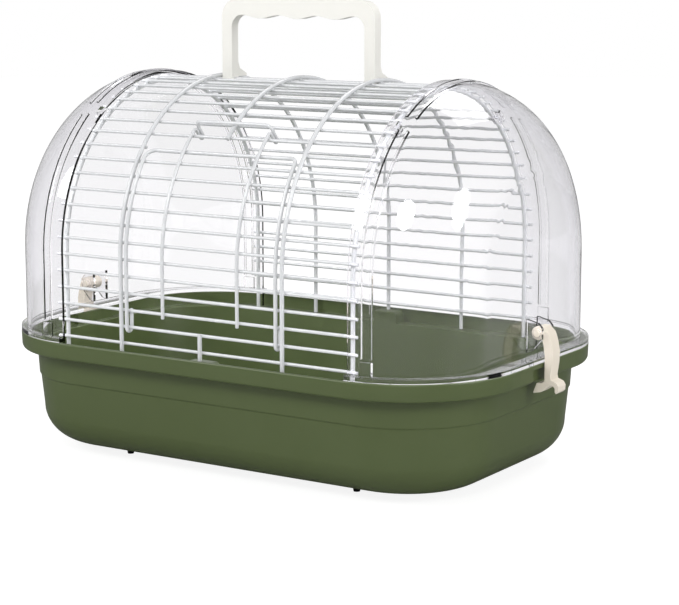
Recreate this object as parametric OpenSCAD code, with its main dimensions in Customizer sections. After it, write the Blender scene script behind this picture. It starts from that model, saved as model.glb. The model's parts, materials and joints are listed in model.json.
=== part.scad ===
// Small animal transport crate: a moulded tray with a rim, a welded wire tunnel with a front door,
// two clear domed ends, a carrying handle and two swing clips that hold the cover to the tray.
// The origin is on the table, under the middle of the tray. X runs along the tunnel, the door faces -Y.

/* [Tray] */
// Length of the tray over its rim
tray_w = 320; // [280:1:400]
// Depth of the tray over its rim
tray_d = 206; // [180:1:260]
// Height of the rim's top edge above the table
rim_z = 70; // [60:1:100]
// Corner radius of the rim, seen from above
rim_corner_r = 66; // [50:1:70]
// Height of the rim's outer band
rim_h = 10; // [8:0.5:14]
// How far the rim stands out from the tub below it
rim_step = 9; // [7:0.5:10]
// Wall thickness of the tray
tray_wall = 2; // [1.5:0.1:3]
// Height of the feet under the tray's floor
foot_h = 4; // [2:0.5:8]
// Diameter of a foot where it meets the tray
foot_d = 5; // [4:0.5:8]

/* [Tunnel] */
// Height of the tunnel's springing line, where the straight sides turn into the arch
spring_z = 120; // [105:1:160]
// Length of the wires that run along the tunnel
tunnel_w = 200; // [180:1:240]
// Distance from the middle to the hoops beside the door
door_hoop_x = 54; // [50:1:60]
// Distance from the middle to the end hoops
end_hoop_x = 96; // [90:1:96]
// Diameter of the hoops' wire
hoop_d = 2.4; // [2:0.1:3]
// Diameter of the wires along the tunnel
bar_d = 1.8; // [1.5:0.1:2.2]
// Number of wires on each side, below the ridge wire
bars_per_side = 21; // [17:1:24]
// Height of the lowest wire above the rim
first_bar_h = 3.5; // [2:0.5:6]

/* [Door] */
// Number of the wire that the door turns on, counted up from the lowest one, which is 0
hinge_bar = 1; // [1:1:2]
// Number of the wire that the door hooks on to
header_bar = 13; // [10:1:15]
// Distance from the middle to the door's side wires
door_x = 50; // [46:0.5:50.5]
// Diameter of the door frame's wire
frame_d = 2.2; // [2:0.1:2.6]
// Diameter of the upright wires and of the latch wire
latch_d = 2; // [1.8:0.1:2.4]
// Distance from the middle to the door's upright wires
upright_x = 25; // [18:1:32]
// How far the latch hooks reach in behind the header wire
hook_reach = 8.5; // [7:0.5:10]

/* [Clear ends] */
// Wall thickness of the clear ends
shell_wall = 1.8; // [1.4:0.1:2.4]
// Radius of the rounding from the arch into the end face
dome_r = 52; // [40:1:60]
// Gap between the tunnel's wires and the clear ends
shell_gap = 0.8; // [0.5:0.1:1.5]
// Thickness of the flange that lies on the tray's rim
flange_t = 2.2; // [1.5:0.1:3]

/* [Handle] */
// Height of the handle above the ridge wire
handle_h = 46; // [40:1:60]
// Width of the handle over its legs
handle_w = 104.6; // [90:0.2:105]
// Width of a handle leg
leg_w = 7; // [6:0.5:10]
// Thickness of the handle, front to back
handle_t = 6.4; // [5:0.2:8]
// Height of the grip's bar
grip_h = 9; // [7:0.5:12]
// Number of finger bumps under the grip
finger_bumps = 3; // [1:1:5]

/* [Clips] */
// Width of a clip
clip_w = 9; // [7:0.5:12]
// Thickness of a clip's strap
clip_t = 3.4; // [2.5:0.1:4]
// Diameter of a clip's pivot studs
stud_d = 4; // [3:0.5:5]

/* [Hidden] */
$fn = 64;
// Clearances: between pieces that move apart, round a turning pin, and the depth of a weld
gap = 0.3;
pin_gap = 0.06;
weld = 0.1;
eps = 0.01;

// Radii of the layers of the tunnel, measured from the axis of its arch
bar_r = tray_d / 2 - 7;
outer_hoop_r = bar_r + bar_d / 2 + hoop_d / 2 - weld;
inner_hoop_r = bar_r - bar_d / 2 - hoop_d / 2 + weld;
shell_in_r = bar_r + bar_d / 2 + shell_gap;
shell_out_r = shell_in_r + shell_wall;

// Bars: equal steps along the side and the arch, from the lowest bar to the ridge
first_bar_z = rim_z + first_bar_h;
side_h = spring_z - first_bar_z;
bar_step = (side_h + bar_r * PI / 2) / bars_per_side;
function bar_run(i) = i * bar_step - side_h;
function bar_angle(i) = max(0, bar_run(i)) / bar_r * 180 / PI;
// Place of a point on the tunnel's front: radius, angle up from the springing line, drop below it
function front(r, angle, below = 0) = [-r * cos(angle), spring_z + r * sin(angle) - below];
function bar_yz(i) = front(bar_r, bar_angle(i), max(0, -bar_run(i)));

// Tray heights
floor_z = foot_h;
lip_z = rim_z - rim_h;
ledge_z = lip_z + tray_wall;
step_z = lip_z - 16;
bottom_r_z = 26;
bottom_inset = 36;
boss_w = 19;
boss_top_z = rim_z - 1;
boss_t = 7;
catch_w = 30;
catch_in = 3;

// Door
frame_r = bar_r + bar_d / 2 + frame_d / 2 + 0.15;
door_bar_r = frame_r - frame_d / 2 - bar_d / 2 + weld;
upright_r = door_bar_r + bar_d / 2 + latch_d / 2 - weld;
first_door_bar = hinge_bar + 1;
last_door_bar = header_bar - 2;
door_top_angle = bar_angle(header_bar - 1) - 1;
rail_r = upright_r - latch_d / 2 - frame_d / 2 + weld;
hinge_yz = bar_yz(hinge_bar);
loop_r = frame_r - bar_r;
loop_top_z = bar_yz(first_door_bar)[1];
bend_angle = bar_angle(header_bar) + 1.5;
bend_yz = front(upright_r, bend_angle);
frame_corner_r = 6;
latch_half_gap = 0.12;

// Clear ends
shell_x0 = end_hoop_x - 0.5;
dome_x0 = tunnel_w / 2 - 1;
shell_end_x = dome_x0 + dome_r;
shell_bottom_z = ledge_z + 0.5;
flange_z = rim_z + 0.2;
rail_t = 1;
rail_w = 1.6;
rails_x = [4, 9.7];
rail_root = 0.9;
rail_break = 3;
rail_foot_z = rim_z + 12;
snap_angle = (bar_angle(header_bar + 1) + bar_angle(header_bar + 2)) / 2;
snap_angles = [snap_angle, 180 - snap_angle];
snap_w = 5.4;

// Handle
ridge_z = spring_z + bar_r;
handle_top = ridge_z + handle_h;
hub_r = handle_t / 2;
handle_corner_r = 10;
opening_corner_r = 7;
bump_h = 2;

// Clips
clip_pivot = [shell_end_x + 6, rim_z + 16];
strap_x = tray_w / 2 + 0.9;
ear_t = 2.2;
ear_gap = 0.35;
hook_z = lip_z - 1;

feet_xy = [for (sx = [-1, 1], sy = [-1, 1]) [sx * 78, sy * 62]];
side_feet_xy = [for (sx = [-1, 1], sy = [-1, 1]) [sx * 110, sy * 38]];
all_feet = concat(feet_xy, side_feet_xy);

green = "#565f3c";
white = "#f4f4f2";
ivory = "#f3f1ea";
cream = "#e8e0d6";
clear = [0.86, 0.86, 0.9, 0.35];

// ---- Tray ----

// Section of the tray, from the axis of a corner outwards: floor, wall, outward step and rim band
function tray_section() = let (
        r = rim_corner_r, w = tray_wall, s = rim_step,
        fillet = [for (a = [270 : 5 : 350]) [cos(a), sin(a)]],
        wall_s = s + 3.5, fx = bottom_inset - wall_s, fz = bottom_r_z - floor_z)
    concat(
        [[0, floor_z]],
        [for (p = fillet) [r - bottom_inset + fx * p[0], bottom_r_z + fz * p[1]]],
        [[r - wall_s, bottom_r_z + 1], [r - s - 1.8, step_z], [r - s - 1, step_z + 0.8],
         [r - s, lip_z], [r - 2.5, lip_z], [r - 1, lip_z + 0.6], [r - 0.3, lip_z + 2],
         [r, rim_z - 0.5], [r - 0.5, rim_z], [r - w, rim_z], [r - w, ledge_z],
         [r - s - w, ledge_z], [r - s - 1.8 - w, step_z], [r - wall_s - w, bottom_r_z + 1]],
        [for (i = [len(fillet) - 1 : -1 : 0])
            [r - bottom_inset + (fx - w) * fillet[i][0], bottom_r_z + (fz - w) * fillet[i][1]]],
        [[0, floor_z + w]]);

// Carries the section in the children round the rim's rounded rectangle
module round_the_rim() {
    long_w = tray_w - 2 * rim_corner_r;
    long_d = tray_d - 2 * rim_corner_r;
    for (c = [[1, 1, 0], [-1, 1, 90], [-1, -1, 180], [1, -1, 270]])
        translate([c[0] * long_w / 2, c[1] * long_d / 2, 0]) rotate(c[2])
            rotate_extrude(angle = 90) children();
    for (turn = [0, 180]) rotate(turn) {
        translate([long_w / 2, long_d / 2, 0]) rotate([90, 0, 0])
            linear_extrude(long_d) children();
        translate([-long_w / 2, long_d / 2, 0]) rotate([90, 0, 90])
            linear_extrude(long_w) children();
    }
}

module rounded_box(w, d, r, z0, z1) {
    translate([-w / 2 + r, -d / 2, z0]) cube([w - 2 * r, d, z1 - z0]);
    translate([-w / 2, -d / 2 + r, z0]) cube([w, d - 2 * r, z1 - z0]);
    for (sx = [-1, 1], sy = [-1, 1])
        translate([sx * (w / 2 - r), sy * (d / 2 - r), z0]) cylinder(r = r, h = z1 - z0);
}

// Raised block on the ledge that a middle hoop stands on
module boss() {
    y0 = tray_d / 2 - rim_step - tray_wall;
    translate([-boss_w / 2, y0, ledge_z - 1])
        cube([boss_w, rim_step + tray_wall / 2, boss_top_z - 3 - ledge_z + 1]);
    translate([-boss_w / 2 + 3, y0, ledge_z - 1])
        cube([boss_w - 6, rim_step + tray_wall / 2, boss_top_z - ledge_z + 1]);
    for (s = [-1, 1]) translate([s * (boss_w / 2 - 3), y0, boss_top_z - 3]) rotate([-90, 0, 0])
        cylinder(r = 3, h = rim_step + tray_wall / 2);
}

module tray() {
    half_w = tray_w / 2;
    color(green) difference() {
        union() {
            round_the_rim() polygon(tray_section());
            translate([0, 0, floor_z + tray_wall / 2])
                cube([tray_w - 2 * rim_corner_r, tray_d - 2 * rim_corner_r, tray_wall], center = true);
            for (turn = [0, 180]) rotate(turn) {
                boss();
                translate([half_w - catch_in - tray_wall, -catch_w / 2 - tray_wall, ledge_z - 1])
                    cube([catch_in + 1, catch_w + 2 * tray_wall, rim_z - 1.5 - ledge_z + 1]);
            }
        }
        for (turn = [0, 180]) rotate(turn)
            translate([half_w - catch_in, -catch_w / 2, lip_z - 1])
                cube([catch_in + 1, catch_w, rim_h - 1.5]);
    }
}

module foot(i) {
    color("#1c1c1c") translate([all_feet[i][0], all_feet[i][1], 0])
        cylinder(d1 = foot_d * 0.72, d2 = foot_d, h = foot_h);
}

// ---- Tunnel ----

// Half arch or full arch of a hoop, in the plane across the tunnel at x
module hoop_arc(x, r, from, to) {
    translate([x, 0, spring_z]) rotate([90, 0, -90]) rotate(from)
        rotate_extrude(angle = to - from) translate([r, 0]) circle(d = hoop_d, $fn = 32);
}

module hoop_leg(x, r, side, z0, z1) {
    translate([x, side * r, z0]) cylinder(d = hoop_d, h = z1 - z0, $fn = 32);
}

module full_hoop(x, r) {
    color(white) {
        hoop_arc(x, r, 0, 180);
        for (side = [-1, 1]) hoop_leg(x, r, side, ledge_z + gap, spring_z);
    }
}

// The middle hoop: from its boss at the back, over the top and down to the header wire
module centre_hoop() {
    color(white) mirror([0, 1, 0]) {
        hoop_arc(0, outer_hoop_r, 0, 181.5 - bar_angle(header_bar));
        hoop_leg(0, outer_hoop_r, -1, boss_top_z + gap, spring_z);
    }
}

module centre_hoop_stub() {
    color(white) hoop_leg(0, outer_hoop_r, -1, boss_top_z + gap, hinge_yz[1] + hoop_d / 2);
}

// Wires first to last on one side of the tunnel (side -1 is the front), from x0 to x1
module bars(first, last, side, x0, x1) {
    color(white) for (i = [first : last])
        translate([x0, -side * bar_yz(i)[0], bar_yz(i)[1]]) rotate([0, 90, 0])
            cylinder(d = bar_d, h = x1 - x0, $fn = 24);
}

module low_front_wires() { bars(0, hinge_bar, -1, -tunnel_w / 2, tunnel_w / 2); }

module front_wires_left() {
    bars(first_door_bar, header_bar - 1, -1, -tunnel_w / 2, -door_hoop_x + hoop_d / 2 - 0.4);
}

module front_wires_right() {
    bars(first_door_bar, header_bar - 1, -1, door_hoop_x - hoop_d / 2 + 0.4, tunnel_w / 2);
}

module top_wires() {
    bars(header_bar, bars_per_side - 1, -1, -tunnel_w / 2, tunnel_w / 2);
    bars(header_bar, bars_per_side, 1, -tunnel_w / 2, tunnel_w / 2);
}

module back_wires() { bars(0, header_bar - 1, 1, -tunnel_w / 2, tunnel_w / 2); }

// ---- Bent wires ----

// A round wire of diameter d swept along points, with one ring of sides corners at each
module bent_wire(points, d, sides = 12) {
    n = len(points);
    tangents = [for (i = [0 : n - 1])
        let (t = points[min(i + 1, n - 1)] - points[max(i - 1, 0)]) t / norm(t)];
    // The first ring's side direction is carried along the wire, so the rings don't twist
    function carried(i) = let (
            before = i == 0 ? (abs(tangents[0][0]) < 0.9 ? [1, 0, 0] : [0, 0, 1]) : carried(i - 1),
            flat = before - (before * tangents[i]) * tangents[i]) flat / norm(flat);
    rings = [for (i = [0 : n - 1]) let (u = carried(i), v = cross(tangents[i], u))
        each [for (k = [0 : sides - 1]) points[i] + d / 2 * (cos(360 * k / sides) * u
            + sin(360 * k / sides) * v)]];
    walls = [for (i = [0 : n - 2], k = [0 : sides - 1]) let (m = (k + 1) % sides)
        each [[i * sides + k, i * sides + m, (i + 1) * sides + m],
              [i * sides + k, (i + 1) * sides + m, (i + 1) * sides + k]]];
    polyhedron(points = rings, faces = concat([for (f = walls) [f[0], f[2], f[1]]],
        [[for (k = [0 : sides - 1]) k]], [[for (k = [sides - 1 : -1 : 0]) (n - 1) * sides + k]]));
}

// A point on the tunnel's front as x, y, z
function on_front(x, r, angle, below = 0) = let (p = front(r, angle, below)) [x, p[0], p[1]];

// ---- Door ----

// One half of the door frame's line, from the hinge loop's inner end to the middle of the top.
// The corner is a quarter circle in the unrolled front, x against run along the arch, and dips
// in under the uprights.
function half_frame(side) = let (
        deg = 180 / PI / frame_r, corner = frame_corner_r, top = door_top_angle,
        axis_y = hinge_yz[0], axis_z = hinge_yz[1])
    concat(
        [for (z = [loop_top_z, axis_z + 4]) [side * door_x, axis_y + loop_r, z]],
        [for (a = [0 : -22.5 : -180])
            [side * door_x, axis_y + loop_r * cos(a), axis_z + loop_r * sin(a)]],
        [for (z = [axis_z + 6, spring_z]) [side * door_x, axis_y - loop_r, z]],
        [for (a = [4 : 4 : top - corner * deg - 1]) on_front(side * door_x, frame_r, a)],
        [for (t = [0 : 15 : 90]) on_front(side * (door_x - corner + corner * cos(t)),
            frame_r - (frame_r - rail_r) * t / 90, top - corner * deg * (1 - sin(t)))]);

module door_frame() {
    left = half_frame(-1);
    right = half_frame(1);
    color(white) bent_wire(concat(left, [for (i = [len(right) - 1 : -1 : 0]) right[i]]), frame_d);
}

module door_wires() {
    color(white) for (i = [first_door_bar : last_door_bar])
        let (p = front(door_bar_r, bar_angle(i), max(0, -bar_run(i))))
            translate([-door_x - frame_d / 2 + 0.3, p[0], p[1]]) rotate([0, 90, 0])
                cylinder(d = bar_d, h = 2 * door_x + frame_d - 0.6, $fn = 24);
}

module door_uprights() {
    color(white) for (x = [-upright_x, upright_x])
        bent_wire(concat(
            [[x, -upright_r, loop_top_z - 2.5], [x, -upright_r, spring_z]],
            [for (a = [4 : 4 : bend_angle - 5]) on_front(x, upright_r, a)],
            [on_front(x, upright_r, bend_angle - latch_half_gap)]), latch_d);
}

// The latch: from each upright it bends in over the header wire, turns back behind it and
// runs out again to the grip bar that joins the two sides
function half_latch(side) = let (
        x = side * upright_x, turn_r = latch_d / 2 + 0.12, in_r = upright_r - hook_reach,
        step = 2 * turn_r / upright_r * 180 / PI, back = bend_angle + 0.8 + step)
    concat(
        [for (p = [[0, latch_half_gap], [0.1, 0.35], [0.5, 0.6], [1.2, 0.75], [2.2, 0.8]])
            on_front(x, upright_r - p[0], bend_angle + p[1])],
        [for (t = [0 : 30 : 180]) on_front(x, in_r + turn_r - turn_r * sin(t),
            back - step * (1 + cos(t)) / 2)],
        [on_front(x, upright_r - 2.5, back + 0.1)],
        [for (t = [0 : 22.5 : 90]) on_front(x - side * 3.5 * (1 - cos(t)),
            upright_r - 0.8 + 3.5 * sin(t), back + 0.3)]);

module door_latch() {
    left = half_latch(-1);
    right = half_latch(1);
    color(white) bent_wire(concat(left, [for (i = [len(right) - 1 : -1 : 0]) right[i]]), latch_d);
}

// ---- Clear ends ----

// Radius of the clear end's outside, at distance x past the start of its dome
function dome_at(x) = shell_out_r - dome_r + sqrt(dome_r * dome_r - x * x);

// Section of a clear end: radius from the arch's axis against distance along the tunnel
function shell_section() = let (r = shell_out_r, w = shell_wall)
    concat(
        [[r - w, shell_x0], [r, shell_x0], [r, dome_x0]],
        [for (a = [87 : -3 : 0]) [r - dome_r + dome_r * sin(a), dome_x0 + dome_r * cos(a)]],
        [[0, shell_end_x], [0, shell_end_x - w]],
        [for (a = [0 : 3 : 90])
            [r - dome_r + (dome_r - w) * sin(a), dome_x0 + (dome_r - w) * cos(a)]]);

// Section of a rail that starts x past the dome's edge, with its root inside the wall
function rail_section(x) = [[dome_at(x) - rail_root, dome_x0 + x], [dome_at(x), dome_x0 + x],
    [dome_at(x + 0.3) + rail_t, dome_x0 + x + 0.3],
    [dome_at(x + rail_w - 0.3) + rail_t, dome_x0 + x + rail_w - 0.3],
    [dome_at(x + rail_w), dome_x0 + x + rail_w],
    [dome_at(x + rail_w) - rail_root, dome_x0 + x + rail_w]];

// Outline of the clear end at one height: the section and its mirror image
module shell_plan() {
    half = shell_section();
    polygon([for (p = half) [p[1], -p[0]]]);
    polygon([for (p = half) [p[1], p[0]]]);
}

// Places a section round the arch, from angle a1 at the back to angle a2
module round_the_arch(a1, a2) {
    translate([0, 0, spring_z]) rotate([0, 90, 0]) rotate([0, 0, 90 + a1])
        rotate_extrude(angle = a2 - a1) children();
}

// The two rails, broken where the snap tabs are, with their feet above the flange
module rails() {
    for (x = rails_x) {
        for (side = [-1, 1]) translate([0, 0, rail_foot_z]) linear_extrude(spring_z - rail_foot_z)
            polygon([for (p = rail_section(x)) [p[1], side * p[0]]]);
        round_the_arch(0, snap_angle - rail_break) polygon(rail_section(x));
        round_the_arch(snap_angle + rail_break, 180 - snap_angle - rail_break)
            polygon(rail_section(x));
        round_the_arch(180 - snap_angle + rail_break, 180) polygon(rail_section(x));
    }
}

// Low stop block on the flange, under the rails' feet
module rail_stop() {
    translate([dome_x0 + rails_x[0], dome_at(rails_x[1]) - rail_root, flange_z + flange_t - 0.5])
        cube([rails_x[1] - rails_x[0] + rail_w, rail_root + rail_t + 0.6,
            rail_foot_z - flange_z - flange_t - 1]);
}

// The flange that lies on the rim, with a raised outer edge
module shell_flange() {
    top = flange_z + flange_t;
    difference() {
        union() {
            rounded_box(tray_w - 0.2, tray_d - 0.2, rim_corner_r - 0.1, flange_z, top);
            difference() {
                rounded_box(tray_w - 0.2, tray_d - 0.2, rim_corner_r - 0.1, top - 0.5, top + 0.9);
                rounded_box(tray_w - 3, tray_d - 3, rim_corner_r - 1.5, top - 1, top + 2);
            }
        }
        translate([-tray_w, -tray_d, flange_z - 1])
            cube([tray_w + shell_x0, 2 * tray_d, flange_t + 4]);
        translate([0, 0, flange_z - 1]) linear_extrude(flange_t + 4) shell_core();
    }
}

// Everything inside the clear end's outer wall, for cutting the flange
module shell_core() {
    section = [for (a = [90 : -3 : 0])
        [shell_out_r - 0.9 - dome_r + dome_r * sin(a), dome_x0 - 0.9 + dome_r * cos(a)]];
    polygon(concat([[0, -shell_out_r + 0.9]], [for (p = section) [p[1], -p[0]]],
        [for (i = [len(section) - 1 : -1 : 0]) [section[i][1], section[i][0]]],
        [[0, shell_out_r - 0.9]]));
}

// A snap tab that grips the end hoop from inside the clear end's edge
module snap_tab() {
    depth = shell_in_r - inner_hoop_r + hoop_d / 2 + 1.2;
    x0 = end_hoop_x + hoop_d / 2 + 0.2;
    translate([x0, -snap_w / 2, shell_in_r - depth]) cube([3, snap_w, depth + shell_wall / 2]);
    translate([x0 - 1.6, -snap_w / 2, shell_in_r - depth]) cube([2, snap_w, 1]);
}

// One ear of the clip's bracket, standing out from the end face
module ear() {
    px = clip_pivot[0];
    pz = clip_pivot[1];
    rotate([90, 0, 0]) linear_extrude(ear_t, center = true)
        polygon([[shell_end_x - 1, pz - 11], [shell_end_x + 3, pz - 10], [px + 3.2, pz - 3],
            [px + 3.2, pz + 3], [px + 1, pz + 5.5], [shell_end_x - 1, pz + 7.5]]);
}

module end_shell() {
    color(clear) difference() {
        union() {
            translate([0, 0, shell_bottom_z]) linear_extrude(spring_z - shell_bottom_z)
                shell_plan();
            round_the_arch(0, 180) polygon(shell_section());
            rails();
            shell_flange();
            for (side = [0, 1]) mirror([0, side, 0]) rail_stop();
            for (a = snap_angles) translate([0, 0, spring_z]) rotate([a - 90, 0, 0]) snap_tab();
            for (side = [-1, 1])
                translate([0, side * (clip_w / 2 + ear_gap + ear_t / 2), 0]) ear();
        }
        for (side = [-1, 1]) translate([clip_pivot[0], side * (clip_w / 2 + ear_gap + ear_t / 2),
                clip_pivot[1]]) rotate([90, 0, 0])
            cylinder(d = stud_d + 2 * pin_gap, h = ear_t + 2, center = true);
    }
}

// ---- Handle ----

// Underside of the grip: a row of finger bumps across the opening's width
function grip_underside(w, z) = [for (k = [0 : 48]) let (u = k / 48)
    [-w / 2 + w * u, z - bump_h / 2 * (1 - cos(360 * finger_bumps * u))]];

module handle_outline() {
    r = handle_corner_r;
    c = opening_corner_r;
    inner_w = handle_w - 2 * leg_w;
    grip_z = handle_top - grip_h;
    difference() {
        union() {
            translate([-handle_w / 2, ridge_z]) square([handle_w, handle_h - r]);
            translate([-handle_w / 2 + r, ridge_z]) square([handle_w - 2 * r, handle_h]);
            for (s = [-1, 1]) translate([s * (handle_w / 2 - r), handle_top - r]) circle(r);
        }
        translate([-inner_w / 2, ridge_z - 1]) square([inner_w, grip_z - c - ridge_z + 1]);
        polygon(concat([[-inner_w / 2 + c, grip_z - c - 1]],
            grip_underside(inner_w - 2 * c, grip_z), [[inner_w / 2 - c, grip_z - c - 1]]));
        for (s = [-1, 1]) translate([s * (inner_w / 2 - c), grip_z - c]) circle(c);
    }
}

module carry_handle() {
    color(ivory) difference() {
        union() {
            rotate([90, 0, 0]) linear_extrude(handle_t, center = true) handle_outline();
            for (s = [-1, 1]) translate([s * (handle_w - leg_w) / 2, 0, ridge_z]) {
                rotate([0, 90, 0]) cylinder(r = hub_r, h = leg_w, center = true);
                rotate([90, 0, 90]) linear_extrude(leg_w, center = true)
                    polygon([[0, 1.3], [bar_step + 2, 1.3], [bar_step + 2, 2.8],
                        [hub_r + 1.5, 6], [hub_r - 0.1, 10], [0, 10]]);
            }
        }
        for (s = [-1, 1]) translate([s * (handle_w - leg_w) / 2, 0, ridge_z]) rotate([0, 90, 0])
            cylinder(d = bar_d + 2 * pin_gap, h = leg_w + 2, center = true);
    }
}

// ---- Clips ----

// Side view of a clip, x outwards: hub, bowed strap, hook under the rim and thumb tab
module clip_outline() {
    px = clip_pivot[0];
    pz = clip_pivot[1];
    x0 = strap_x;
    t = clip_t;
    polygon([[px - 1, pz + 3.4], [px + 2.5, pz + 3.6], [x0 + 2, pz + 0.5], [x0 + 3.6, pz - 4],
        [x0 + t + 1.4, pz - 10], [x0 + t + 1.2, pz - 16], [x0 + t + 0.2, lip_z + 3],
        [x0 + t + 0.6, lip_z + 0.8], [x0 + t + 2, lip_z + 0.4], [x0 + t + 4, lip_z - 0.4],
        [x0 + t + 5.2, lip_z - 2.4], [x0 + t + 5, lip_z - 5], [x0 + t + 3.6, lip_z - 6.4],
        [x0 + t + 2.8, lip_z - 5.4], [x0 + t + 2.8, lip_z - 3.4], [x0 + t + 1.4, lip_z - 2],
        [x0 + t - 0.6, lip_z - 2.4], [x0 + 0.6, lip_z - 4.6], [x0 - 2.4, lip_z - 6.4],
        [x0 - 6.6, lip_z - 7.2], [x0 - 6.2, lip_z - 5.6], [x0 - 4.6, hook_z - 0.4],
        [x0 - 1.6, hook_z - 0.2], [x0, hook_z + 1], [x0, rim_z + 3.6], [x0 - 1, pz - 6],
        [px + 2, pz - 3], [px - 2, pz - 3]]);
    translate([px, pz]) circle(d = stud_d + 3.4);
}

module clip() {
    color(cream) {
        rotate([90, 0, 0]) linear_extrude(clip_w, center = true) clip_outline();
        translate([clip_pivot[0], 0, clip_pivot[1]]) rotate([90, 0, 0])
            cylinder(d = stud_d, h = clip_w + 2 * (ear_gap + ear_t), center = true);
    }
}

tray();
for (i = [0 : len(all_feet) - 1]) foot(i);
mirror([1, 0, 0]) end_shell();  // end_shell_left
end_shell();  // end_shell_right
full_hoop(-end_hoop_x, inner_hoop_r);  // end_hoop_left
full_hoop(end_hoop_x, inner_hoop_r);  // end_hoop_right
full_hoop(-door_hoop_x, outer_hoop_r);  // door_hoop_left
full_hoop(door_hoop_x, outer_hoop_r);  // door_hoop_right
centre_hoop();
centre_hoop_stub();
low_front_wires();
front_wires_left();
front_wires_right();
top_wires();
back_wires();
door_frame();
door_wires();
door_uprights();
door_latch();
carry_handle();
mirror([1, 0, 0]) clip();  // clip_left
clip();  // clip_right
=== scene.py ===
"""Small animal transport crate: olive tray, white wire tunnel with a front door, clear domed ends,
white handle and cream clips. The CAD frame gives every place; this file gives the finishes, the
bent wires of the door and its latch, the welds, the softened edges, the light and the camera."""

import json
import math

import bmesh
import bpy
import numpy as np
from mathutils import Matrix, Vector


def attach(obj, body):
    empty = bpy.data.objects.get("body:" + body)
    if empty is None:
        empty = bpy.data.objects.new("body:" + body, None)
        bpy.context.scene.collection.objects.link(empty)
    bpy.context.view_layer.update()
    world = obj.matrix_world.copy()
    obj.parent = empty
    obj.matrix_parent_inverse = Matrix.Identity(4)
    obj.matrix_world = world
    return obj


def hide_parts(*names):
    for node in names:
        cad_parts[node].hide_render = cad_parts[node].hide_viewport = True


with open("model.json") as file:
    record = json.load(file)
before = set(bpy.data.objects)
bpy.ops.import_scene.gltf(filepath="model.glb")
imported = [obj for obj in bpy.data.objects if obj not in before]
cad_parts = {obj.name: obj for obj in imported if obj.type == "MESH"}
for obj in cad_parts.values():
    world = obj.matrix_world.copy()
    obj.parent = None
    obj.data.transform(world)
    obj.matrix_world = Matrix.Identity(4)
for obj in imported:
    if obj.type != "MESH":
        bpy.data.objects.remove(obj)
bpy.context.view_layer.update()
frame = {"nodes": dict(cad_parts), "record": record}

MM = 0.001

# Tunnel and door sizes, in metres, as the CAD has them
BAR_WIRE = 1.8 * MM
FRAME_WIRE = 2.2 * MM
LATCH_WIRE = 2.0 * MM
RIM_TOP = 70 * MM
SPRING_Z = 120 * MM
BAR_R = 96 * MM
BARS_PER_SIDE = 21
FIRST_BAR_Z = RIM_TOP + 3.5 * MM
HINGE_BAR, HEADER_BAR = 1, 13
WELD = 0.1 * MM
FRAME_R = BAR_R + BAR_WIRE / 2 + FRAME_WIRE / 2 + 0.15 * MM
DOOR_BAR_R = FRAME_R - FRAME_WIRE / 2 - BAR_WIRE / 2 + WELD
UPRIGHT_R = DOOR_BAR_R + BAR_WIRE / 2 + LATCH_WIRE / 2 - WELD
RAIL_R = UPRIGHT_R - LATCH_WIRE / 2 - FRAME_WIRE / 2 + WELD
DOOR_X, UPRIGHT_X = 50 * MM, 25 * MM
DOOR_HOOP_X, END_HOOP_X = 54 * MM, 96 * MM
FRAME_CORNER = 6 * MM
HOOK_REACH = 8.5 * MM
GRIP_CORNER = 3.5 * MM
SIDE_H = SPRING_Z - FIRST_BAR_Z
BAR_STEP = (SIDE_H + BAR_R * math.pi / 2) / BARS_PER_SIDE


# ---- Places on the arch ----

def bar_place(i):
    """Run of bar i past the springing line: (angle up the arch in radians, drop below it)."""
    run = np.asarray(i) * BAR_STEP - SIDE_H
    return np.maximum(run, 0) / BAR_R, np.maximum(-run, 0)


def on_arch(x, radius, angle, drop=0.0, side=-1):
    """Point x along the tunnel: y is side * radius * cos(angle), z is the springing height plus
    radius * sin(angle), less the drop down the straight side."""
    x, radius, angle, drop = np.broadcast_arrays(x, radius, angle, drop)
    return np.stack([x, side * radius * np.cos(angle), SPRING_Z + radius * np.sin(angle) - drop], -1)


# ---- Surfaces ----

def mesh_piece(name, points, faces, material):
    """A smooth shaded mesh object from an array of points and an array of quads."""
    mesh = bpy.data.meshes.new(name)
    mesh.vertices.add(len(points))
    mesh.vertices.foreach_set("co", points.astype(np.float32).ravel())
    mesh.loops.add(faces.size)
    mesh.loops.foreach_set("vertex_index", faces.astype(np.int32).ravel())
    mesh.polygons.add(len(faces))
    mesh.polygons.foreach_set("loop_start", np.arange(0, faces.size, faces.shape[1], dtype=np.int32))
    mesh.update(calc_edges=True)
    tidy = bmesh.new()
    tidy.from_mesh(mesh)
    bmesh.ops.remove_doubles(tidy, verts=tidy.verts, dist=1e-7)
    bmesh.ops.recalc_face_normals(tidy, faces=tidy.faces)
    tidy.to_mesh(mesh)
    tidy.free()
    mesh.polygons.foreach_set("use_smooth", np.ones(len(mesh.polygons), bool))
    piece = bpy.data.objects.new(name, mesh)
    bpy.context.scene.collection.objects.link(piece)
    if material:
        mesh.materials.append(material)
    return piece


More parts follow.
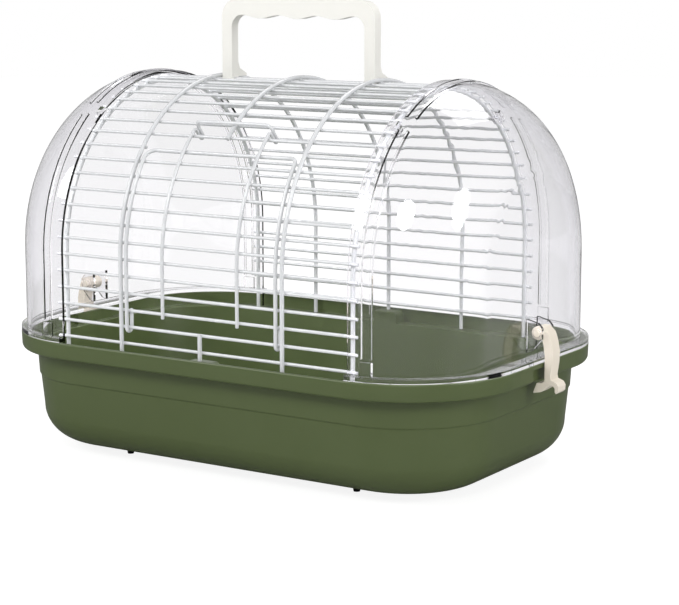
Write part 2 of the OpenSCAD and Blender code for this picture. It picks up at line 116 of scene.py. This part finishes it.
def smooth_path(points, step):
    """Points about step apart on a centripetal Catmull-Rom curve through the given ones."""
    p = np.asarray(points, float)
    p = np.vstack([2 * p[0] - p[1], p, 2 * p[-1] - p[-2]])
    out = []
    for a, b, c, d in zip(p[:-3], p[1:-2], p[2:-1], p[3:]):
        n = max(1, int(np.ceil(np.linalg.norm(c - b) / step)))
        ta = 0.0
        tb = ta + max(np.linalg.norm(b - a), 1e-9) ** 0.5
        tc = tb + max(np.linalg.norm(c - b), 1e-9) ** 0.5
        td = tc + max(np.linalg.norm(d - c), 1e-9) ** 0.5
        t = np.linspace(tb, tc, n, endpoint=False)[:, None]
        ab = (tb - t) / (tb - ta) * a + (t - ta) / (tb - ta) * b
        bc = (tc - t) / (tc - tb) * b + (t - tb) / (tc - tb) * c
        cd = (td - t) / (td - tc) * c + (t - tc) / (td - tc) * d
        abc = (tc - t) / (tc - ta) * ab + (t - ta) / (tc - ta) * bc
        bcd = (td - t) / (td - tb) * bc + (t - tb) / (td - tb) * cd
        out.append((tc - t) / (tc - tb) * abc + (t - tb) / (tc - tb) * bcd)
    return np.vstack([*out, p[-2][None]])


def wire_surface(path, diameter, sides=20, tip=0.45):
    """A round wire along a path: circles square to the path, turned as little as possible from
    one to the next, with a rounded end of depth tip * diameter at each end."""
    p = np.asarray(path)
    t = np.gradient(p, axis=0)
    t /= np.linalg.norm(t, axis=1, keepdims=True)
    u = np.empty_like(t)
    side = np.cross(t[0], [1.0, 0.0, 0.0])
    side = side if np.linalg.norm(side) > 0.1 else np.cross(t[0], [0.0, 0.0, 1.0])
    for i in range(len(p)):
        side = side - side.dot(t[i]) * t[i]
        side /= np.linalg.norm(side)
        u[i] = side
    v = np.cross(t, u)
    a = np.linspace(0, 2 * np.pi, sides, endpoint=False)
    ring = np.cos(a)[None, :, None] * u[:, None] + np.sin(a)[None, :, None] * v[:, None]
    r = diameter / 2
    # Rounded ends: four rings that close in as an ellipse
    s = np.linspace(0, np.pi / 2, 5)[1:]
    depth = tip * diameter
    out, close = depth * np.sin(s)[:, None, None], r * np.cos(s)[:, None, None]
    start = p[0] - out[::-1] * t[0] + close[::-1] * ring[0]
    end = p[-1] + out * t[-1] + close * ring[-1]
    return np.concatenate([start, p[:, None] + r * ring, end])


def joined(name, grids, material):
    """Surfaces closed round, such as wires, as one piece: each grid of points has its rows along
    the surface and its columns round it, and rows that shrink to a point are merged."""
    points, faces, base = [], [], 0
    for g in grids:
        nu, nv = g.shape[:2]
        a, b = np.meshgrid(np.arange(nu - 1), np.arange(nv), indexing="ij")
        corner = lambda i, j: (i * nv + (j % nv)).ravel() + base
        faces.append(np.stack([corner(a, b), corner(a + 1, b), corner(a + 1, b + 1),
                               corner(a, b + 1)], 1))
        points.append(g.reshape(-1, 3))
        base += nu * nv
    return mesh_piece(name, np.vstack(points), np.vstack(faces), material)


def weld_beads(name, places, along, across, size, material):
    """One small bead per place: an ellipsoid of 6 by 10 points, stretched along both wires and
    pinched where they part. places, along and across are arrays of points and unit directions."""
    a = np.linspace(0, np.pi, 7)[None, :, None]
    b = np.linspace(0, 2 * np.pi, 10, endpoint=False)[None, None, :]
    pinch = 1 + 0.35 * np.cos(2 * b) ** 2
    c = np.stack(np.broadcast_arrays(np.sin(a) * np.cos(b) * pinch * size[0],
                                     np.sin(a) * np.sin(b) * pinch * size[1],
                                     np.cos(a) * size[2] + 0 * b), -1)
    up = np.cross(along, across)
    axes = np.stack([along, across, up], 1)
    grid = np.einsum("nuvk,nkj->nuvj", np.broadcast_to(c, (len(places), *c.shape[1:])), axes)
    grid = grid + places[:, None, None]
    return joined(name, list(grid), material)


# ---- Shared shader effects ----

def new_group(name, inputs, outputs):
    """A shader node group with float inputs (name, value) and outputs (name, socket type)."""
    group = bpy.data.node_groups.new(name, "ShaderNodeTree")
    for label, value in inputs:
        socket = group.interface.new_socket(label, in_out="INPUT", socket_type="NodeSocketFloat")
        socket.default_value = value
    for label, kind in outputs:
        group.interface.new_socket(label, in_out="OUTPUT", socket_type=kind)
    return group, group.nodes.new("NodeGroupInput"), group.nodes.new("NodeGroupOutput")


def add_node(tree, kind, links=(), **values):
    """A node with its properties and input values set, and links as (input, output socket)."""
    node = tree.nodes.new(kind)
    for key, value in values.items():
        if key[0] == "_":
            setattr(node, key[1:], value)
        else:
            node.inputs[key.replace("_", " ")].default_value = value
    for key, source in links:
        tree.links.new(source, node.inputs[key])
    return node


def moulded_surface():
    """Moulded plastic: a fine orange-peel skin, slow waves from cooling, and a cloudy gloss."""
    group, into, out = new_group("moulded_surface",
                                 [("Peel", 1400.0), ("Cloud", 14.0),
                                  ("Gloss low", 0.3), ("Gloss high", 0.42)],
                                 [("Height", "NodeSocketFloat"), ("Roughness", "NodeSocketFloat"),
                                  ("Cloud", "NodeSocketFloat")])
    place = add_node(group, "ShaderNodeTexCoord").outputs["Object"]
    peel = add_node(group, "ShaderNodeTexNoise", [("Vector", place), ("Scale", into.outputs["Peel"])],
                    Detail=2.0, Roughness=0.5)
    cloud = add_node(group, "ShaderNodeTexNoise", [("Vector", place), ("Scale", into.outputs["Cloud"])],
                     Detail=4.0, Roughness=0.6)
    waves = add_node(group, "ShaderNodeMath", [(0, cloud.outputs["Fac"])], _operation="MULTIPLY")
    waves.inputs[1].default_value = 2.0
    height = add_node(group, "ShaderNodeMath", [(0, peel.outputs["Fac"]), (1, waves.outputs[0])],
                      _operation="ADD")
    gloss = add_node(group, "ShaderNodeMapRange", [("Value", cloud.outputs["Fac"]),
                     ("To Min", into.outputs["Gloss low"]), ("To Max", into.outputs["Gloss high"])],
                     From_Min=0.3, From_Max=0.7)
    group.links.new(height.outputs[0], out.inputs["Height"])
    group.links.new(gloss.outputs["Result"], out.inputs["Roughness"])
    group.links.new(cloud.outputs["Fac"], out.inputs["Cloud"])
    return group


def handling_marks():
    """Fine rubbed scratches: thin stretched noise, cut to a few hair lines, on patches only."""
    group, into, out = new_group("handling_marks", [("Scale", 60.0), ("Amount", 0.5)],
                                 [("Mask", "NodeSocketFloat")])
    place = add_node(group, "ShaderNodeTexCoord").outputs["Object"]
    turned = add_node(group, "ShaderNodeMapping", [("Vector", place)])
    turned.inputs["Rotation"].default_value = (0.6, 0.3, 0.9)
    turned.inputs["Scale"].default_value = (1.0, 14.0, 14.0)
    lines = add_node(group, "ShaderNodeTexNoise",
                     [("Vector", turned.outputs["Vector"]), ("Scale", into.outputs["Scale"])],
                     Detail=3.0, Roughness=0.7)
    thin = add_node(group, "ShaderNodeMapRange", [("Value", lines.outputs["Fac"])],
                    From_Min=0.66, From_Max=0.74, To_Min=0.0, To_Max=1.0)
    patch = add_node(group, "ShaderNodeTexNoise", [("Vector", place)], Scale=9.0, Detail=2.0)
    worn = add_node(group, "ShaderNodeMapRange", [("Value", patch.outputs["Fac"])],
                    From_Min=0.45, From_Max=0.7, To_Min=0.0, To_Max=1.0)
    both = add_node(group, "ShaderNodeMath",
                    [(0, thin.outputs["Result"]), (1, worn.outputs["Result"])], _operation="MULTIPLY")
    amount = add_node(group, "ShaderNodeMath", [(0, both.outputs[0]), (1, into.outputs["Amount"])],
                      _operation="MULTIPLY")
    group.links.new(amount.outputs[0], out.inputs["Mask"])
    return group


SKIN = moulded_surface()
MARKS = handling_marks()


def blend_colour(tree, factor, a, b):
    """A colour between a and b, each a colour or a socket, by the factor socket."""
    mix = tree.nodes.new("ShaderNodeMix")
    mix.data_type = "RGBA"
    tree.links.new(factor, mix.inputs["Factor"])
    for socket, value in ((mix.inputs[6], a), (mix.inputs[7], b)):
        if isinstance(value, tuple):
            socket.default_value = (*value, 1)
        else:
            tree.links.new(value, socket)
    return mix.outputs[2]


def start_material(name):
    """A node material with its Principled shader: (material, tree, shader)."""
    material = bpy.data.materials.new(name)
    material.use_nodes = True
    return material, material.node_tree, material.node_tree.nodes["Principled BSDF"]


def raised(tree, shader, height, depth):
    """Feeds a height socket to the shader's normal through a bump of that depth in metres."""
    bump = add_node(tree, "ShaderNodeBump", [("Height", height)], Strength=1.0, Distance=depth)
    tree.links.new(bump.outputs["Normal"], shader.inputs["Normal"])


def plastic(name, dark, light, gloss, peel=1400.0, depth=0.00001, marks=0.35):
    """Coloured moulded plastic: colour drifts between dark and light, gloss is (low, high)."""
    material, tree, shader = start_material(name)
    skin = add_node(tree, "ShaderNodeGroup", _node_tree=SKIN)
    skin.inputs["Peel"].default_value = peel
    skin.inputs["Gloss low"].default_value, skin.inputs["Gloss high"].default_value = gloss
    rubbed = add_node(tree, "ShaderNodeGroup", _node_tree=MARKS)
    rubbed.inputs["Amount"].default_value = marks
    base = blend_colour(tree, skin.outputs["Cloud"], dark, light)
    pale = tuple(min(1.0, c * 1.25 + 0.02) for c in light)
    tree.links.new(blend_colour(tree, rubbed.outputs["Mask"], base, pale), shader.inputs["Base Color"])
    rough = add_node(tree, "ShaderNodeMath",
                     [(0, skin.outputs["Roughness"]), (1, rubbed.outputs["Mask"])], _operation="ADD")
    tree.links.new(rough.outputs[0], shader.inputs["Roughness"])
    shader.inputs["IOR"].default_value = 1.48
    raised(tree, shader, skin.outputs["Height"], depth)
    return material


def dipped_wire():
    """White dipped coating: thick gloss with a slow run of the coating along the wire."""
    material, tree, shader = start_material("dipped_white_wire")
    skin = add_node(tree, "ShaderNodeGroup", _node_tree=SKIN)
    skin.inputs["Peel"].default_value = 900.0
    skin.inputs["Cloud"].default_value = 90.0
    skin.inputs["Gloss low"].default_value, skin.inputs["Gloss high"].default_value = 0.16, 0.3
    white = blend_colour(tree, skin.outputs["Cloud"], (0.60, 0.61, 0.63), (0.70, 0.71, 0.72))
    tree.links.new(white, shader.inputs["Base Color"])
    tree.links.new(skin.outputs["Roughness"], shader.inputs["Roughness"])
    shader.inputs["Coat Weight"].default_value = 0.4
    shader.inputs["Coat Roughness"].default_value = 0.08
    raised(tree, shader, skin.outputs["Height"], 0.00003)
    return material


def clear_plastic():
    """Clear moulded plastic: a faint lilac grey that deepens towards the edge-on parts, light
    scuffs in the gloss."""
    material, tree, shader = start_material("clear_styrene")
    edge = add_node(tree, "ShaderNodeLayerWeight", Blend=0.35)
    depth = add_node(tree, "ShaderNodeMapRange", [("Value", edge.outputs["Facing"])],
                     From_Min=0.25, From_Max=1.0, To_Min=0.0, To_Max=1.0)
    tint = blend_colour(tree, depth.outputs["Result"], (0.91, 0.905, 0.92), (0.64, 0.63, 0.67))
    tree.links.new(tint, shader.inputs["Base Color"])
    rubbed = add_node(tree, "ShaderNodeGroup", _node_tree=MARKS)
    rubbed.inputs["Amount"].default_value = 0.12
    rough = add_node(tree, "ShaderNodeMath", [(0, rubbed.outputs["Mask"])], _operation="ADD")
    rough.inputs[1].default_value = 0.02
    tree.links.new(rough.outputs[0], shader.inputs["Roughness"])
    shader.inputs["Transmission Weight"].default_value = 1.0
    shader.inputs["IOR"].default_value = 1.45
    # Light passes straight through for shadows
    path = add_node(tree, "ShaderNodeLightPath")
    clear = add_node(tree, "ShaderNodeBsdfTransparent")
    clear.inputs["Color"].default_value = (0.93, 0.93, 0.94, 1)
    mix = add_node(tree, "ShaderNodeMixShader", [(0, path.outputs["Is Shadow Ray"]),
                                                 (1, shader.outputs[0]), (2, clear.outputs[0])])
    tree.links.new(mix.outputs[0], tree.nodes["Material Output"].inputs["Surface"])
    return material


OLIVE = plastic("olive_moulding", (0.066, 0.090, 0.029), (0.082, 0.109, 0.040), (0.32, 0.42),
                depth=0.000005, marks=0.25)
IVORY = plastic("ivory_handle", (0.80, 0.79, 0.74), (0.86, 0.85, 0.81), (0.28, 0.4),
                peel=1800.0, marks=0.12)
CREAM = plastic("cream_clip", (0.70, 0.63, 0.53), (0.78, 0.72, 0.62), (0.3, 0.42),
                peel=1800.0, marks=0.15)
BLACK = plastic("black_foot", (0.010, 0.010, 0.011), (0.02, 0.02, 0.022), (0.5, 0.65),
                peel=900.0, depth=0.00003)
WIRE = dipped_wire()
CLEAR = clear_plastic()

FINISHES = {"tray_plastic": OLIVE, "foot_rubber": BLACK, "clear_plastic": CLEAR, "coated_wire": WIRE,
            "handle_plastic": IVORY, "clip_plastic": CREAM}

for part in frame["record"]["subparts"]:
    node = frame["nodes"][part["node"]]
    for slot in node.material_slots:
        slot.material = FINISHES[part["material_slot"]]


# ---- Door ----

def frame_side(side):
    """One side of the door frame, from the hook loop's inner end up to the middle of the top: a
    half turn under the hinge wire, up the front, over the arch, and a quarter turn in plan that
    dips in under the uprights."""
    hinge = on_arch(0, BAR_R, *bar_place(HINGE_BAR))
    loop = FRAME_R - BAR_R
    x = side * DOOR_X
    top = float(bar_place(HEADER_BAR - 1)[0]) - math.radians(1)
    corner = FRAME_CORNER / FRAME_R
    inner_top = float(on_arch(0, BAR_R, *bar_place(HINGE_BAR + 1))[2])
    z = np.linspace(inner_top, hinge[2] + 1 * MM, 5)
    a = np.radians(np.arange(0, -181, -12))
    b = np.linspace(hinge[2] + 2 * MM, SPRING_Z, 12)
    c = np.radians(np.arange(3, math.degrees(top - corner) - 0.5, 3))
    t = np.radians(np.arange(0, 91, 7.5))
    turn = on_arch(side * (DOOR_X - FRAME_CORNER + FRAME_CORNER * np.cos(t)),
                   FRAME_R - (FRAME_R - RAIL_R) * t / (np.pi / 2), top - corner * (1 - np.sin(t)))
    return np.vstack([
        np.stack([0 * z + x, 0 * z + hinge[1] + loop, z], 1),
        np.stack([0 * a + x, hinge[1] + loop * np.cos(a), hinge[2] + loop * np.sin(a)], 1),
        np.stack([0 * b + x, 0 * b + hinge[1] - loop, b], 1),
        on_arch(x, FRAME_R, c), turn])


def door_frame():
    """The door's bent frame, one wire from hook loop to hook loop."""
    path = smooth_path(np.vstack([frame_side(-1), frame_side(1)[::-1]]), 1.2 * MM)
    piece = joined("door_frame_wire", [wire_surface(path, FRAME_WIRE)], WIRE)
    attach(piece, "door")
    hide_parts("door_frame")


BEND = float(bar_place(HEADER_BAR)[0]) + math.radians(1.5)


def door_uprights():
    """Two uprights, from just below the first cross wire up over the arch to the latch's bend."""
    foot = float(on_arch(0, BAR_R, *bar_place(HINGE_BAR + 1))[2]) - 2.5 * MM + 0.4 * MM
    grids = []
    for x in (-UPRIGHT_X, UPRIGHT_X):
        z = np.linspace(foot, SPRING_Z, 8)
        a = np.linspace(0.05, BEND - math.radians(0.1), 16)
        path = np.vstack([np.stack([0 * z + x, 0 * z - UPRIGHT_R, z], 1), on_arch(x, UPRIGHT_R, a)])
        grids.append(wire_surface(smooth_path(path, 1.5 * MM), LATCH_WIRE, tip=0.2))
    piece = joined("door_upright_wires", grids, WIRE)
    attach(piece, "door")
    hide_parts("door_uprights")


def latch_side(side):
    """One hook of the latch: in over the header wire, a tight turn, and out to the grip bar."""
    x = side * UPRIGHT_X
    turn = LATCH_WIRE / 2 + 0.12 * MM
    inner = UPRIGHT_R - HOOK_REACH
    step = 2 * turn / UPRIGHT_R
    back = BEND + math.radians(0.8) + step
    lead = np.array([[0, 0.15], [0.1, 0.35], [0.5, 0.6], [1.2, 0.75], [2.2, 0.8]])
    t = np.radians(np.arange(0, 181, 20))
    s = np.radians(np.arange(0, 91, 15))
    return np.vstack([
        on_arch(x, UPRIGHT_R - lead[:, 0] * MM, BEND + np.radians(lead[:, 1])),
        on_arch(x, inner + turn - turn * np.sin(t), back - step * (1 + np.cos(t)) / 2),
        on_arch(x, UPRIGHT_R - 2.5 * MM, back + math.radians(0.1))[None],
        on_arch(x - side * GRIP_CORNER * (1 - np.cos(s)),
                UPRIGHT_R - 0.8 * MM + GRIP_CORNER * np.sin(s), back + math.radians(0.3))])


def door_latch():
    """The latch, one wire from hook to hook."""
    path = smooth_path(np.vstack([latch_side(-1), latch_side(1)[::-1]]), 0.6 * MM)
    piece = joined("door_latch_wire", [wire_surface(path, LATCH_WIRE, tip=0.2)], WIRE)
    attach(piece, "latch")
    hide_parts("door_latch")


door_frame()
door_uprights()
door_latch()


# ---- Welds ----

def arch_axes(angle, side):
    """Directions at a place on the arch: along the tunnel, and up along the hoop."""
    up = np.stack([0 * angle, -side * np.sin(angle), np.cos(angle)], -1)
    return np.broadcast_to([1.0, 0.0, 0.0], up.shape).copy(), up


def weld_row(bars, xs, radius, side):
    """Weld places where bars cross wires at xs, at a radius between the two layers."""
    i, x = [g.ravel() for g in np.meshgrid(bars, xs, indexing="ij")]
    angle, drop = bar_place(i)
    return (on_arch(x, radius, angle, drop, side), *arch_axes(angle, side))


def welds():
    """A bead at each crossing of the cover's wires and hoops, and of the door's wires."""
    outer, inner = BAR_R + BAR_WIRE / 2, BAR_R - BAR_WIRE / 2
    every = np.arange(0, BARS_PER_SIDE + 1)
    rows = [weld_row(every, [-DOOR_HOOP_X, DOOR_HOOP_X], outer, s) for s in (-1, 1)]
    rows += [weld_row(every, [-END_HOOP_X, END_HOOP_X], inner, s) for s in (-1, 1)]
    rows += [weld_row(every, [0.0], outer, 1), weld_row(every[HEADER_BAR:-1], [0.0], outer, -1),
             weld_row(every[:2], [0.0], outer, -1)]
    cover = [np.concatenate(c) for c in zip(*rows)]
    beads = weld_beads("cover_weld_beads", *cover, (1.15 * MM, 1.0 * MM, 0.55 * MM), WIRE)
    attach(beads, "cover")
    bars = np.arange(HINGE_BAR + 1, HEADER_BAR - 1)
    rows = [weld_row(bars, [-DOOR_X, DOOR_X], DOOR_BAR_R + BAR_WIRE / 2, -1),
            weld_row(bars, [-UPRIGHT_X, UPRIGHT_X], DOOR_BAR_R + BAR_WIRE / 2, -1)]
    door = [np.concatenate(c) for c in zip(*rows)]
    beads = weld_beads("door_weld_beads", *door, (1.05 * MM, 0.95 * MM, 0.5 * MM), WIRE)
    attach(beads, "door")


welds()


# ---- Mouldings ----

def moulding(node_name, name, body, material, round_off, limit=35, segments=3):
    """A smooth shaded copy of a moulding, standing for its CAD node. Edges sharper than the limit
    angle are rounded to the radius round_off."""
    source = frame["nodes"][node_name]
    mesh = source.data.copy()
    mesh.name = name
    work = bmesh.new()
    work.from_mesh(mesh)
    bmesh.ops.remove_doubles(work, verts=work.verts, dist=2e-6)
    bmesh.ops.dissolve_limit(work, angle_limit=math.radians(0.6), verts=work.verts, edges=work.edges)
    for edge in work.edges:
        edge.smooth = True
    work.to_mesh(mesh)
    work.free()
    if mesh.has_custom_normals:
        mesh.attributes.remove(mesh.attributes["custom_normal"])
    mesh.polygons.foreach_set("use_smooth", np.ones(len(mesh.polygons), bool))
    mesh.materials.clear()
    mesh.materials.append(material)
    piece = bpy.data.objects.new(name, mesh)
    bpy.context.scene.collection.objects.link(piece)
    bevel = piece.modifiers.new("rounded_edges", "BEVEL")
    bevel.width, bevel.segments = round_off, segments
    bevel.limit_method, bevel.angle_limit = "ANGLE", math.radians(limit)
    bevel.use_clamp_overlap = True
    normals = piece.modifiers.new("face_normals", "WEIGHTED_NORMAL")
    normals.keep_sharp = False
    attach(piece, body)
    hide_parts(node_name)


moulding("carry_handle", "handle_moulding", "handle", IVORY, 1.1 * MM)
moulding("clip_left", "left_clip_moulding", "left_clip", CREAM, 0.5 * MM)
moulding("clip_right", "right_clip_moulding", "right_clip", CREAM, 0.5 * MM)
moulding("end_shell_left", "left_end_moulding", "cover", CLEAR, 0.3 * MM, 40, 2)
moulding("end_shell_right", "right_end_moulding", "cover", CLEAR, 0.3 * MM, 40, 2)
moulding("tray", "tray_moulding", "base", OLIVE, 0.4 * MM, 30, 2)


# ---- Studio ----

ROOM_LIGHT, FLOOR_GLOW = 0.38, 0.88
FLOOR_RADIUS, FLOOR_DROP = 4.0, 0.2 * MM
# Place, shape, width, height and watts of each lamp
LAMPS = [((0.68, -1.21, 0.98), "DISK", 0.52, 0.52, 9.0), ((1.54, 0.05, 0.69), "DISK", 0.5, 0.5, 7.5),
         ((-1.0, -1.3, 1.1), "RECTANGLE", 0.9, 0.7, 15.0), ((0.1, 0.9, 1.6), "RECTANGLE", 1.2, 0.7, 12.0)]


def seen_directly(tree):
    """A socket that is 1 where the eye sees the surface, straight or through the clear plastic."""
    path = add_node(tree, "ShaderNodeLightPath")
    either = add_node(tree, "ShaderNodeMath", [(0, path.outputs["Is Camera Ray"]),
                                               (1, path.outputs["Is Transmission Ray"])],
                      _operation="MAXIMUM")
    return either.outputs[0]


def studio():
    """A large pale floor in a white room, two round lamps for the highlights on the clear ends, and
    soft boxes above and behind."""
    material, tree, shader = start_material("pale_floor")
    place = add_node(tree, "ShaderNodeTexCoord").outputs["Object"]
    fine = add_node(tree, "ShaderNodeTexNoise", [("Vector", place)], Scale=3.0, Detail=2.0)
    pale = blend_colour(tree, fine.outputs["Fac"], (0.84, 0.84, 0.84), (0.86, 0.86, 0.86))
    soft = add_node(tree, "ShaderNodeLightPath").outputs["Is Diffuse Ray"]
    tree.links.new(blend_colour(tree, soft, (0.22, 0.22, 0.22), pale), shader.inputs["Base Color"])
    shader.inputs["Roughness"].default_value = 0.6
    shader.inputs["Emission Color"].default_value = (1, 1, 1, 1)
    glow = add_node(tree, "ShaderNodeMath", [(0, seen_directly(tree))], _operation="MULTIPLY")
    glow.inputs[1].default_value = FLOOR_GLOW
    tree.links.new(glow.outputs[0], shader.inputs["Emission Strength"])
    r = np.linspace(0, FLOOR_RADIUS, 9)[:, None]
    a = np.linspace(0, 2 * np.pi, 48, endpoint=False)[None]
    disc = np.stack(np.broadcast_arrays(r * np.cos(a), r * np.sin(a), 0 * r * a - FLOOR_DROP), -1)
    floor = joined("studio_floor", [disc], material)
    if floor.data.polygons[0].normal.z < 0:
        floor.data.flip_normals()

    world = bpy.data.worlds.new("studio_room")
    bpy.context.scene.world = world
    world.use_nodes = True
    room = world.node_tree
    room.nodes["Background"].inputs["Color"].default_value = (1.0, 1.0, 1.0, 1)
    strength = add_node(room, "ShaderNodeMapRange", [("Value", seen_directly(room))],
                        To_Min=ROOM_LIGHT, To_Max=1.0)
    room.links.new(strength.outputs["Result"], room.nodes["Background"].inputs["Strength"])

    for i, (where, shape, wide, tall, power) in enumerate(LAMPS):
        lamp = bpy.data.lights.new(f"softbox_{i + 1}", "AREA")
        lamp.shape, lamp.size, lamp.size_y, lamp.energy = shape, wide, tall, power
        holder = bpy.data.objects.new(lamp.name, lamp)
        holder.location = where
        holder.rotation_mode = "QUATERNION"
        holder.rotation_quaternion = (Vector((0, 0, 0.12)) - Vector(where)).to_track_quat("-Z", "Y")
        bpy.context.scene.collection.objects.link(holder)


def camera():
    """Right of the front and a little above, with a long lens."""
    turn, rise, away = math.radians(32.8), math.radians(9.3), 1.1298
    target = Vector((0.0254, 0.0, 0.0974))
    back = Vector((math.sin(turn) * math.cos(rise), -math.cos(turn) * math.cos(rise), math.sin(rise)))
    lens = bpy.data.cameras.new("camera")
    lens.sensor_width = 36.0
    lens.lens = 104.31
    lens.shift_x, lens.shift_y = 0.0034, -0.0190
    lens.clip_start, lens.clip_end = 0.05, 20.0
    holder = bpy.data.objects.new("camera", lens)
    holder.location = target + back * away
    holder.rotation_mode = "QUATERNION"
    holder.rotation_quaternion = (-back).to_track_quat("-Z", "Y")
    bpy.context.scene.collection.objects.link(holder)
    bpy.context.scene.camera = holder


studio()
camera()
bpy.context.scene.view_settings.view_transform = "Standard"
